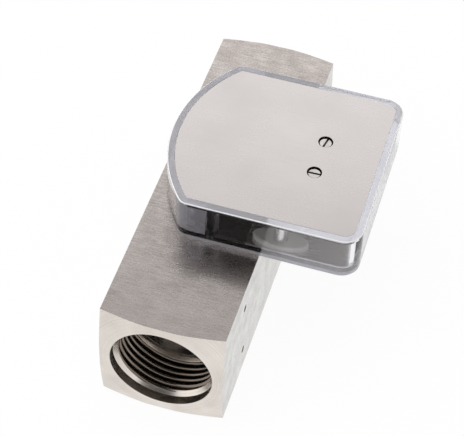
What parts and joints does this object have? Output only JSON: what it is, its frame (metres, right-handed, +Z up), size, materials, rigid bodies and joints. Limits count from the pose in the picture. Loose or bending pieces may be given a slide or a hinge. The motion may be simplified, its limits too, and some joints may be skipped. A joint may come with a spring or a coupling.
{
  "type": "variable area flow meter",
  "caption": "In-line variable area flow meter: square bar with pipe threads in both ends, sprung float inside, clear D-shaped pointer indicator on top under a bare plate.",
  "frame": {"origin": "middle of the bar's underside", "axes": "+Y with the flow along the bar, +Z up through the indicator, +X towards the side that the indicator overhangs"},
  "size_m": [0.0708, 0.132, 0.056],
  "materials": {
    "bar_steel": "milled stainless steel",
    "plate_steel": "fine satin stainless sheet",
    "turned_steel": "turned stainless steel",
    "screw_steel": "bright stainless steel",
    "spring_steel": "drawn spring steel",
    "blackened_steel": "black oxide",
    "magnet": "nickel plated",
    "clear_plastic": "clear polycarbonate",
    "black_plastic": "moulded",
    "white_plastic": "moulded",
    "bridge_aluminium": "machined",
    "bearing_bronze": "turned",
    "pointer_paint": "enamel",
    "seal_rubber": "moulded"
  },
  "bodies": {
    "meter": {"meter_body": "bar_steel", "measuring_sleeve": "turned_steel", "sleeve_seals": "seal_rubber", "inlet_guide": "turned_steel", "outlet_guide": "turned_steel", "guide_rod": "turned_steel", "rod_nuts": "screw_steel", "retaining_rings": "spring_steel", "return_spring": "spring_steel", "indicator_housing": "clear_plastic", "floor_liner": "plate_steel", "locating_dowels": "blackened_steel", "housing_screws": "screw_steel", "cover_plate": "plate_steel", "plate_seal": "seal_rubber", "plate_screws": "screw_steel", "bearing_bridge": "bridge_aluminium", "bridge_screws": "screw_steel", "top_strap": "bridge_aluminium", "pivot_bushes": "bearing_bronze", "pillar_feet": "white_plastic", "plate_pillars": "screw_steel"},
    "float": {"float": "turned_steel", "float_magnet": "magnet", "magnet_retainer": "turned_steel"},
    "pointer": {"pivot_shaft": "screw_steel", "pointer_hub": "bearing_bronze", "follower_arm": "black_plastic", "follower_magnet": "magnet", "counterweight": "bearing_bronze", "pointer": "pointer_paint"}
  },
  "joints": [
    {"name": "float_slide", "type": "slide", "parent": "meter", "child": "float", "axis": [0, 1, 0], "range_m": [0, 0.034], "stiffness_N_per_m": 60, "springref_m": -0.008, "deforming": ["return_spring"]},
    {"name": "pointer_turn", "type": "hinge", "parent": "meter", "child": "pointer", "pos_m": [0.03, 0.0037, 0.048], "axis": [0, 0, -1], "range_deg": [0, 65]}
  ],
  "couplings": [
    {"joint": "pointer_turn", "follows": "float_slide", "rad_per_m": 33.333}
  ]
}
